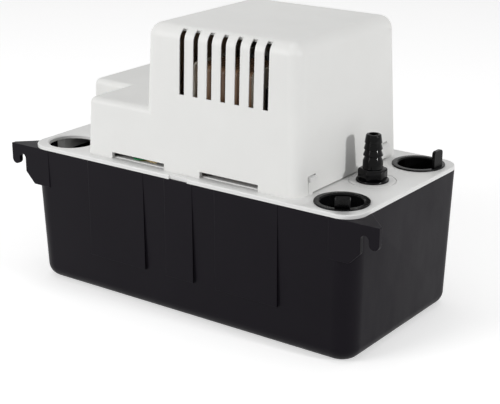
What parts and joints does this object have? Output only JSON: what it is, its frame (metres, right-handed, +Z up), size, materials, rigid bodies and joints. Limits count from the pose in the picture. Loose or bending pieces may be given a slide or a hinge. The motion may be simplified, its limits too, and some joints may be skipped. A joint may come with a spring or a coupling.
{
  "type": "condensate pump",
  "caption": "Condensate pump: drafted tank with hanger ears, vented motor cover, float-worked switches, vertical shaft pump and a barbed check valve outlet.",
  "frame": {"origin": "on the surface the pump stands on, under the middle of the tank", "axes": "+Z up, +X along the tank towards the discharge fitting, front with the hanger ears towards -Y"},
  "size_m": [0.2794, 0.127, 0.181],
  "materials": {
    "black_polymer": "fine matt moulding",
    "white_polymer": "fine matt moulding",
    "plug_polymer": "satin",
    "fitting_polymer": "glossy",
    "rubber": "matt",
    "moulded_inner": "satin",
    "plated_steel": "zinc plated",
    "stainless": "bright",
    "bronze": "sintered",
    "core_steel": "stacked sheet",
    "bobbin_polymer": "satin",
    "coil_tape": "copper wire under brown tape",
    "copper": "bright copper",
    "fan_polymer": "satin",
    "float_foam": "closed foam",
    "switch_polymer": "satin",
    "plunger_polymer": "satin",
    "brass": "tin plated brass",
    "green_screw": "green finish"
  },
  "bodies": {
    "base": {"tank": "black_polymer", "deck": "white_polymer", "motor_cover": "white_polymer", "check_valve_body": "fitting_polymer", "valve_seat": "rubber", "discharge_pipe": "moulded_inner", "volute_housing": "moulded_inner", "intake_cover": "moulded_inner", "pump_column": "moulded_inner", "lower_bearing_bracket": "plated_steel", "upper_bearing_bracket": "plated_steel", "lower_bearing": "bronze", "upper_bearing": "bronze", "stator_core": "core_steel", "coil_core": "core_steel", "coil_bobbin": "bobbin_polymer", "coil_winding": "coil_tape", "shading_rings": "copper", "motor_screws": "plated_steel", "pivot_pin": "stainless", "run_switch": "switch_polymer", "safety_switch": "switch_polymer", "switch_bracket": "plated_steel", "switch_screws": "plated_steel", "switch_terminals": "brass", "bracket_screw": "plated_steel", "earth_terminal": "brass", "earth_screw": "green_screw", "column_screws": "stainless", "volute_screws": "stainless"},
    "rotor": {"motor_shaft": "stainless", "motor_rotor": "core_steel", "cooling_fan": "fan_polymer", "shaft_slinger": "rubber", "impeller": "moulded_inner"},
    "float_assembly": {"float_arm": "moulded_inner", "float": "float_foam", "float_screws": "stainless"},
    "run_lever": {"run_switch_lever": "stainless"},
    "run_plunger": {"run_switch_plunger": "plunger_polymer"},
    "safety_lever": {"safety_switch_lever": "stainless"},
    "safety_plunger": {"safety_switch_plunger": "plunger_polymer"},
    "poppet": {"check_poppet": "moulded_inner"},
    "front_plug": {"front_inlet_plug": "plug_polymer"},
    "rear_plug": {"rear_inlet_plug": "plug_polymer"}
  },
  "joints": [
    {"name": "rotor_spin", "type": "hinge", "parent": "base", "child": "rotor", "pos_m": [0.02435, 0.012, 0], "axis": [0, 0, 1], "continuous": true},
    {"name": "float_swing", "type": "hinge", "parent": "base", "child": "float_assembly", "pos_m": [-0.014, 0.024, 0.07], "axis": [0, 1, 0], "range_deg": [0, 20]},
    {"name": "run_lever_swing", "type": "hinge", "parent": "base", "child": "run_lever", "pos_m": [-0.02502, 0.0186, 0.096], "axis": [0, 1, 0], "range_deg": [0, 5.05]},
    {"name": "run_plunger_slide", "type": "slide", "parent": "base", "child": "run_plunger", "axis": [1, 0, 0], "range_m": [0, 0.00075]},
    {"name": "safety_lever_swing", "type": "hinge", "parent": "base", "child": "safety_lever", "pos_m": [-0.02502, 0.0294, 0.096], "axis": [0, 1, 0], "range_deg": [0, 5.05]},
    {"name": "safety_plunger_slide", "type": "slide", "parent": "base", "child": "safety_plunger", "axis": [1, 0, 0], "range_m": [0, 0.00075]},
    {"name": "poppet_lift", "type": "slide", "parent": "base", "child": "poppet", "axis": [0, 0, 1], "range_m": [0, 0.004]},
    {"name": "front_plug_lift", "type": "slide", "parent": "base", "child": "front_plug", "axis": [0, 0, 1], "range_m": [0, 0.03]},
    {"name": "rear_plug_lift", "type": "slide", "parent": "base", "child": "rear_plug", "axis": [0, 0, 1], "range_m": [0, 0.03]}
  ],
  "couplings": [
    {"joint": "run_lever_swing", "follows": "float_swing", "ratio": 0.25},
    {"joint": "run_plunger_slide", "follows": "float_swing", "m_per_rad": 0.002125},
    {"joint": "safety_lever_swing", "follows": "float_swing", "ratio": 0.25},
    {"joint": "safety_plunger_slide", "follows": "float_swing", "m_per_rad": 0.002125}
  ]
}
